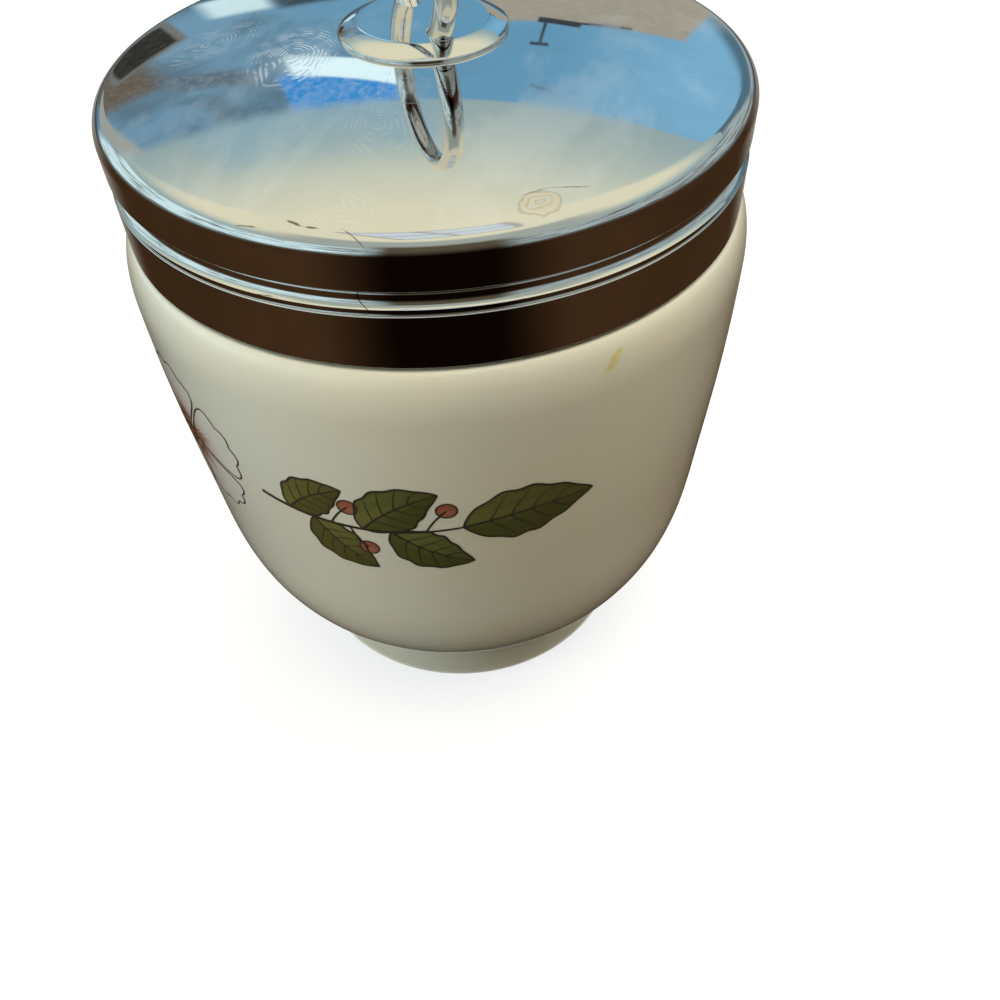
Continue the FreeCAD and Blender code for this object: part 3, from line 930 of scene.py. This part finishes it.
chromeLook = {
    "tint": (0.735, 0.735, 0.73), "pit": (0.5, 0.49, 0.46),
    "scored": (0.10, 0.085, 0.06), "dried": (0.62, 0.49, 0.30),
    "polish": 0.03,         # roughness of the clean plate
    "grease": 0.5,          # how much of the plate is smeared
    "smearSize": 75.0, "finestWipe": 7000.0,
    "dulled": 0.22, "wiped": 0.16, "pitted": 0.4,       # roughness that dirt, wiping lines and pits add
    "relief": 0.000004,     # depth of lines, pits and turning marks, metres
    "pits": {"Spacing": 520.0, "Dot": 0.07, "Share": 0.07},
    "handledFrom": 0.0,     # height that grease begins at, metres
    "rings": 0,             # spacing of turning marks, metres, or none
    "marks": [], "blots": [], "scratches": [],
}
lidLook = {
    **chromeLook, "grease": 0.55, "handledFrom": 0.0735,
    "marks": [              # finger marks: middle, turn, size, strength
        ((-0.0126, 0.0004, 0.0768), 0.5, 0.0048, 0.9), ((-0.0155, -0.0230, 0.0748), -0.7, 0.0030, 0.18),
        ((-0.0187, 0.0085, 0.0759), 1.4, 0.0044, 0.45), ((-0.0093, -0.0148, 0.0763), 0.1, 0.0040, 0.18),
        ((0.0140, 0.0120, 0.0766), 2.1, 0.0050, 0.4)],
    "blots": [((-0.0011, -0.0289, 0.0745), 0.05, 0.0019)],      # dried drops: middle, turn, size
    "scratches": [          # start, reach, width, strength
        ((-0.0194, -0.0227, 0), (0.0011, -0.0014, 0), 0.00016, 1.0),
        ((-0.0183, -0.0241, 0), (0.0010, -0.0007, 0), 0.00011, 1.0),
        ((-0.0229, -0.0208, 0), (0.0017, -0.0015, 0), 0.00005, 1.0),
        ((-0.0159, -0.0254, 0), (0.0013, -0.0023, 0), 0.00005, 1.0),
        ((-0.0022, -0.0277, 0), (0.0027, 0.0001, 0), 0.00012, 0.5),
        ((0.0003, -0.0276, 0), (0.0034, -0.0010, 0), 0.00012, 0.6),
        ((0.0120, 0.0190, 0), (-0.0040, 0.0022, 0), 0.00006, 1.0)],
}


def chromeMaterial(name, look):
    # polished plate; grease and wiping lines begin at the height it is handled from
    material, shader, here, _ = newMaterial(name)
    x, y, z = here.apart()
    handled = z.ease(look["handledFrom"], look["handledFrom"] + 0.001)
    film = here.through(smears, Size=look["smearSize"], Amount=look["grease"])[0] * handled
    lines = here.through(wipes, Finest=look["finestWipe"])[0] * handled
    pits = here.through(flecks, **look["pits"])[0]
    dull = film * 0.25      # grease scatters a little light of its own
    for middle, turn, size, strength in look["marks"]:
        ridges = here.through(fingerMark, Middle=middle, Turn=turn, Size=size)[0]
        dull = most(dull, ridges * (handled * strength))
    body = blend(pits * 0.8, look["tint"], look["pit"])
    for middle, turn, size in look["blots"]:
        rim, dirt = here.through(blot, Middle=middle, Turn=turn, Size=size)
        body = blend(rim * 0.45, blend(dirt * 0.5, body, look["dried"]), look["scored"])
        dull = most(dull, dirt * 0.6)
    for start, reach, width, strength in look["scratches"]:
        line = here.through(scratch, Start=start, Reach=reach, Width=width)[0]
        body = blend(line * strength, body, look["scored"])
    rough = most(look["polish"] + dull * look["dulled"], lines * look["wiped"])
    rough = most(rough, pits * look["pitted"])
    fill(shader, Base_Color=body, Metallic=1.0 - dull * 0.30, Roughness=rough)
    height = lines * -0.25 - pits
    if look["rings"]:
        far = squareRoot(x * x + y * y)
        height = height + joined(far / look["rings"]).noise(1.0, 4.0, 0.7) * 0.3
    addBump(shader, height, look["relief"])
    return material


liningLook = {
    "metal": (0.52, 0.49, 0.43), "tarnish": (0.30, 0.25, 0.18), "lime": (0.66, 0.64, 0.58),
    "spots": {"Spacing": 420.0, "Dot": 0.3, "Share": 0.25}, "relief": 0.00001,
}


def liningMaterial(look):
    # dull plated lining: tarnish in patches, chalky spots where water has dried
    material, shader, here, _ = newMaterial("platedLining")
    patch = here.noise(160.0, 5.0, 0.6, 0.4).ease(0.42, 0.68)
    spots = here.through(flecks, **look["spots"])[0]
    lines = here.moved(scale=(1.0, 1.0, 14.0)).noise(900.0, 3.0, 0.6)
    body = blend(spots * 0.4, blend(patch, look["metal"], look["tarnish"]), look["lime"])
    fill(shader, Base_Color=body, Metallic=0.9, Roughness=0.3 + (patch * 0.2 + lines * 0.12))
    addBump(shader, lines + spots, look["relief"])
    return material


sealLook = {"rubber": (0.36, 0.31, 0.24), "bloom": (0.47, 0.43, 0.36), "relief": 0.00003}


def sealMaterial(look):
    # aged rubber with a pale bloom and a fine moulded grain
    material, shader, here, _ = newMaterial("sealRubber")
    grain = here.noise(3800.0, 3.0, 0.6)
    body = blend(here.noise(220.0, 4.0, 0.6).ease(0.4, 0.7), look["rubber"], look["bloom"])
    fill(shader, Base_Color=body, Roughness=0.6 + grain * 0.2)
    addBump(shader, grain, look["relief"])
    return material


lining = liningMaterial(liningLook)
finishes = [
    (cup, glazeMaterial(glazeLook)),
    (lid, chromeMaterial("polishedLid", lidLook)),
    (boss, chromeMaterial("polishedBoss", {**chromeLook, "rings": 0.00007})),
    (ring, chromeMaterial("polishedRing", {**chromeLook, "grease": 0.4})),
    (leafPrint, enamelMaterial("oliveEnamel")),
    (petalPrint, petalMaterial(petalLook)),
    (rustPrint, enamelMaterial("rustEnamel")),
    (inkPrint, enamelMaterial("inkEnamel")),
    (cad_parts["threaded_collar"], lining),
    (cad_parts["backing_washer"], lining),
    (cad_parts["seal"], sealMaterial(sealLook)),
]
for piece, finish in finishes:
    piece.data.materials.clear()
    piece.data.materials.append(finish)
print("finishes made")


# the tent and card colours are painted reflections: they glow and are seen only in mirrors
stageLook = {        # turns are in degrees from the view, heights in degrees over the ground
    "floorSize": 1.6, "floorColour": (0.30, 0.27, 0.235), "floorGlow": (0.71, 0.735, 0.76),
    "floorFar": (1.0, 1.0, 1.0), "floorFade": (0.16, 0.5),      # metres from the middle
    # the card glows with a painted reflection of a brown table and is seen only in mirrors
    "cardInner": 0.0226, "cardOuter": 0.80, "cardLift": 0.0006, "cardBrown": (0.066, 0.032, 0.014),
    "cardDark": (0.004, 0.0015, 0.001), "cardFar": (0.34, 0.31, 0.26),
    "tentRadius": 0.8, "tentTurn": 17.6,
    "border": (40.0, 12.0, 0.0036),     # where wall and ceiling meet: height, its turn, how it falls away
    "borderBlur": (-14.0, 6.0, 1.3, 0.2),       # how it sharpens between two turns
    "wallLow": (0.06, 0.085, 0.11), "lowFade": (4.0, 13.0),
    "wallLeft": (0.20, 0.38, 0.53), "leftFade": (-22.0, 4.0), "wallMiddle": (0.165, 0.41, 0.62),
    "wallRight": (0.25, 0.55, 0.80), "rightFade": (12.0, 27.0),
    "wallPatch": (0.11, 0.19, 0.25), "patchFade": (-12.0, 2.0, 0.75, 0.12),
    "sideWall": (0.10, 0.20, 0.27), "sideLow": (0.42, 0.52, 0.53),
    "sideFade": (11.0, 19.0), "sideEdge": (12.4, 14.0), "sideSlant": 0.65,
    "ceilingLow": (0.38, 0.51, 0.52), "ceilingMiddle": (0.66, 0.73, 0.62), "ceilingHigh": (0.93, 0.89, 0.65),
    "ceilingFades": ((0.0, 12.0), (7.0, 19.0)),
    "ceilingCool": (0.31, 0.51, 0.61), "coolTurns": (-26.0, 1.0), "coolFade": (3.5, 11.0),
    "roomWall": (0.085, 0.075, 0.062), "roomFade": (42.0, 50.0),
    "roomCeiling": (0.44, 0.49, 0.44), "dimFade": (100.0, 135.0), "dimHeights": (31.0, 56.0),
    "skylight": 0.25, "skyMiddle": (-0.045, -0.145),
    "skyPane": (0.74, 0.84, 0.90), "skyFrame": (0.52, 0.52, 0.47),
    "paneLeft": (0.80, 1.05, 1.10), "paneRight": (0.46, 0.55, 0.56), "paneHeights": (7.0, 34.0),
    "screenFade": (152.0, 164.0), "screenTop": (33.0, 43.0),
    "keeper": (0.115, 0.095, 0.062),        # painted reflection of a dark screen behind the camera
    "worldColour": (1.0, 0.98, 0.94), "worldStrength": 0.085,
}
# painted reflections of things in the room, drawn on the tent: turn from the view and height in degrees (low,
# high), slant, softness, weave, colour
paintedRoomPatches = [
    ((-36.0, -23.5), (8.0, 25.0), 0.0, 1.6, 0.06, (0.15, 0.13, 0.10)),        # brown corner
    ((-27.0, -19.2), (13.6, 21.0), -0.53, 0.3, 0.02, (0.20, 0.21, 0.20)),     # picture frame
    ((-26.2, -20.0), (14.6, 20.0), -0.53, 0.25, 0.02, (0.035, 0.035, 0.03)),
    ((-16.5, -11.8), (8.0, 14.2), 0.3, 0.8, 0.12, (0.70, 0.95, 1.0)),         # far panes
    ((-11.4, -5.0), (12.0, 16.4), 0.1, 0.9, 0.02, (0.05, 0.085, 0.11)),
    ((-5.5, 1.5), (10.0, 17.5), 0.2, 0.7, 0.02, (0.34, 0.32, 0.26)),
    ((-24.0, -17.0), (23.5, 27.0), 0.6, 1.0, 0.12, (0.13, 0.20, 0.26)),       # folds in the cloth
    ((-44.0, -30.5), (15.0, 37.0), 0.0, 0.4, 0.02, (0.40, 0.44, 0.40)),
    ((-15.0, -2.6), (31.0, 39.5), 0.1, 0.5, 0.18, (0.04, 0.33, 0.80)),        # blue cloth
    ((-13.4, -2.5), (27.6, 31.6), 0.5, 0.25, 0.02, (0.95, 1.22, 1.28)),       # window
    ((5.0, 23.3), (13.0, 25.0), -0.13, 0.35, 0.06, (0.42, 0.39, 0.31)),       # pale box
    ((10.3, 14.2), (23.3, 24.5), 0.06, 0.15, 0.02, (0.04, 0.05, 0.06)),       # lamp: arm, rod, stem, foot
    ((13.6, 18.6), (23.6, 24.1), -0.2, 0.12, 0.02, (0.04, 0.05, 0.06)),
    ((10.9, 11.2), (24.0, 29.0), 0.0, 0.1, 0.02, (0.05, 0.07, 0.09)),
    ((10.1, 11.9), (28.8, 29.4), 0.0, 0.12, 0.02, (0.04, 0.05, 0.06)),
    ((11.2, 13.8), (36.6, 37.0), 0.28, 0.15, 0.02, (0.10, 0.17, 0.24)),
]


def hideFromAllButGlossy(piece):
    for rays in ("camera", "diffuse", "shadow", "transmission", "volume_scatter"):
        setattr(piece, "visible_" + rays, False)


def flatRing(name, inner, outer, height, steps=96):
    # flat ring on the ground: point = (r cos t, r sin t, height)
    turn = np.arange(steps) * 2 * math.pi / steps
    radius = np.linspace(inner, outer, 6)[:, None]
    points = np.stack(np.broadcast_arrays(radius * np.cos(turn), radius * np.sin(turn), height), -1)
    return addMesh(name, points.reshape(-1, 3) / mm, gridQuads(6, steps, False, True)[:, ::-1])


def seenDirectly(tree):
    # 1 for rays that look: from the camera, mirrored or let through
    path = newNode(tree, "LightPath").outputs
    looking = most(Value(path["Is Camera Ray"]), Value(path["Is Glossy Ray"]))
    return most(looking, Value(path["Is Transmission Ray"]))


def floorMaterial(look):
    # pale floor: a mid tone for the light, lifted to near white for what looks at it, so that it
    # keeps the shadow
    material, shader, here, _ = newMaterial("paleFloor")
    far = vector("LENGTH", here).ease(*look["floorFade"])
    fill(shader, Base_Color=look["floorColour"], Roughness=0.85, Specular_IOR_Level=0.1,
         Emission_Color=blend(far, look["floorGlow"], look["floorFar"]),
         Emission_Strength=seenDirectly(material.node_tree))
    return material


def glowMaterial(name):
    # sheet that only glows, to paint reflections; gives its colour socket and the place on it
    material = bpy.data.materials.new(name)
    material.use_nodes = True
    tree = material.node_tree
    tree.nodes.clear()
    glow = newNode(tree, "Emission")
    tree.links.new(glow.outputs[0], newNode(tree, "OutputMaterial").inputs["Surface"])
    return material, glow.inputs["Color"], Value(newNode(tree, "TexCoord").outputs["Object"])


def bearings(place, turn):
    # degrees round the axis from the view, -180 to 180, and above the ground
    x, y, z = place.apart()
    around = calc("DEGREES", calc("ARCTAN2", x, y)) - turn
    return calc("WRAP", around, 180.0, -180.0), calc("DEGREES", calc("ARCTAN2", z, squareRoot(x * x + y * y)))


def skylight(place, body, look):
    # paned opening overhead, laid out by the slopes x / z and y / z
    x, y, z = place.apart()
    size = look["skylight"]
    frameMask = paneMask = calc("GREATER_THAN", z, 0.0)
    for side, middle in zip((x, y), look["skyMiddle"]):
        slope = calc("ABSOLUTE", side / z - middle)
        frameMask = frameMask * slope.ease(size, size + 0.02, 1.0, 0.0)
        paneMask = paneMask * slope.between(0.016, size - 0.024, 0.009)
    return blend(paneMask, blend(frameMask, body, look["skyFrame"]), look["skyPane"])


def roomReflectionMaterial(look):
    # glowing tent seen only in mirrors, a painted reflection of a room: blue walls, cream ceiling and a few
    # cards in front, a dim room with panes behind the view
    material, colour, place = glowMaterial("tentRoomReflection")
    azimuth, height = bearings(place, look["tentTurn"])
    behind = calc("ABSOLUTE", azimuth)
    uneven = place.noise(7.0, 4.0, 0.6, 0.8).ease(0.42, 0.66)
    wall = blend(azimuth.ease(*look["leftFade"]), look["wallLeft"], look["wallMiddle"])
    wall = blend(azimuth.ease(*look["rightFade"]), wall, look["wallRight"])
    wall = blend(uneven * azimuth.ease(*look["patchFade"]), wall, look["wallPatch"])
    aside = blend(height.ease(*look["sideFade"]), look["sideLow"], look["sideWall"])
    wall = blend((azimuth - height * look["sideSlant"]).ease(*look["sideEdge"]), wall, aside)
    body = blend(height.ease(*look["lowFade"], 1.0, 0.0), wall, look["wallLow"])
    grain = place.noise(110.0, 4.0, 0.7).ease(0.42, 0.62)
    for (left, right), (low, high), slant, soft, weave, tone in paintedRoomPatches:
        lifted = height - (azimuth - left) * slant
        mask = azimuth.between(left, right, soft) * lifted.between(low, high, soft)
        body = blend(mask, body, blend(grain, tone, tuple(c + weave * (1 - c) for c in tone)))
    pane = blend(azimuth.ease(-30.0, 30.0), look["paneLeft"], look["paneRight"])
    room = blend(height.between(*look["paneHeights"], 4.0), look["roomWall"], pane)
    streaks = place.moved(scale=(5.0, 5.0, 22.0)).noise(1.0, 3.0, 0.6).ease(0.46, 0.62)
    room = blend(streaks * 0.75, room, look["roomWall"])
    body = blend(behind.ease(*look["roomFade"]), body, room)
    top, topTurn, fall = look["border"]
    lowFade, highFade = look["ceilingFades"]
    away = azimuth - topTurn
    over = height - (top - calc("MINIMUM", away * away * fall, 9.0))
    ceiling = blend(over.ease(*lowFade), look["ceilingLow"], look["ceilingMiddle"])
    ceiling = blend(over.ease(*highFade), ceiling, look["ceilingHigh"])
    cooler = azimuth.between(*look["coolTurns"], 2.5) * over.ease(*look["coolFade"], 1.0, 0.0)
    ceiling = blend(cooler * (0.55 + uneven * 0.3), ceiling, look["ceilingCool"])
    blur = azimuth.ease(*look["borderBlur"])
    body = blend(over.ease(blur * -1.0, blur), body, ceiling)
    dim = behind.ease(*look["dimFade"]) * height.between(*look["dimHeights"], 4.0)
    body = skylight(place, blend(dim, body, look["roomCeiling"]), look)
    screen = behind.ease(*look["screenFade"]) * height.ease(*look["screenTop"], 1.0, 0.0)
    keeper = blend(height.ease(0.0, 26.0), look["cardDark"], look["keeper"])
    feed(colour, blend(screen, body, keeper))
    return material


def tableReflectionMaterial(look):
    # card that only glows and is seen only in mirrors: a painted reflection of a brown table round the
    # object, darkest in front
    material, colour, place = glowMaterial("brownTableReflection")
    behind = calc("ABSOLUTE", bearings(place, look["tentTurn"])[0])
    uneven = place.noise(9.0, 3.0).ease(0.3, 0.7)
    brown = blend(uneven, look["cardBrown"], tuple(0.75 * c for c in look["cardBrown"]))
    brown = blend(behind.ease(32.0, 62.0), look["cardFar"], brown)
    feed(colour, blend(behind.ease(136.0, 166.0), brown, look["cardDark"]))
    return material


def makeStage(look):
    floor = flatRing("floor", 0.0001, look["floorSize"], 0)
    floor.data.materials.append(floorMaterial(look))
    card = flatRing("brownTableReflection", look["cardInner"], look["cardOuter"], look["cardLift"])
    card.data.materials.append(tableReflectionMaterial(look))
    polar = np.linspace(0.02, math.pi - 0.02, 40)
    profile = np.stack([np.sin(polar), np.cos(polar)], -1) * look["tentRadius"] / mm
    profile[0, 0] = profile[-1, 0] = 0
    tent = lathe("reflectionTent", profile, 64)
    tent.data.materials.append(roomReflectionMaterial(look))
    hideFromAllButGlossy(card)
    hideFromAllButGlossy(tent)


def makeWorld(look):
    # white where it is seen, a low soft light elsewhere
    world = bpy.data.worlds.new("studio")
    bpy.context.scene.world = world
    world.use_nodes = True
    tree = world.node_tree
    sky, white, mix = tree.nodes["Background"], newNode(tree, "Background"), newNode(tree, "MixShader")
    fill(sky.inputs, Color=look["worldColour"], Strength=look["worldStrength"])
    fill(white.inputs, Color=(1, 1, 1))
    feed(mix.inputs[0], seenDirectly(tree))
    tree.links.new(sky.outputs[0], mix.inputs[1])
    tree.links.new(white.outputs[0], mix.inputs[2])
    tree.links.new(mix.outputs[0], tree.nodes["World Output"].inputs["Surface"])


makeStage(stageLook)
makeWorld(stageLook)
print("stage set")


lampSet = {
    "overhead": {"place": (0.0, -0.08, 0.60), "size": 0.56, "power": 4.6, "colour": (1.0, 0.96, 0.86)},
    "window": {"place": (-0.55, 0.05, 0.11), "size": 0.28, "power": 2.5, "colour": (0.76, 0.90, 1.0)},
    "fill": {"place": (0.44, -0.06, 0.40), "size": 0.40, "power": 1.3, "colour": (1.0, 0.975, 0.92)},
    "behind": {"place": (0.28, 0.42, 0.34), "size": 0.40, "power": 1.5, "colour": (0.97, 0.98, 1.0)},
}


def makeLamp(name, lamp):
    light = bpy.data.lights.new(name, "AREA")
    light.shape = "SQUARE"
    light.size = lamp["size"]
    light.energy = lamp["power"]
    light.color = lamp["colour"]
    holder = bpy.data.objects.new(name, light)
    holder.location = lamp["place"]
    aim = Vector((0, 0, 0.04)) - Vector(lamp["place"])
    holder.rotation_euler = aim.to_track_quat("-Z", "Y").to_euler()
    holder.visible_camera = False
    holder.visible_glossy = False       # the polish mirrors the tent's painted reflections alone
    bpy.context.scene.collection.objects.link(holder)


for lampName, lampValues in lampSet.items():
    makeLamp(lampName, lampValues)
print("lamps hung")
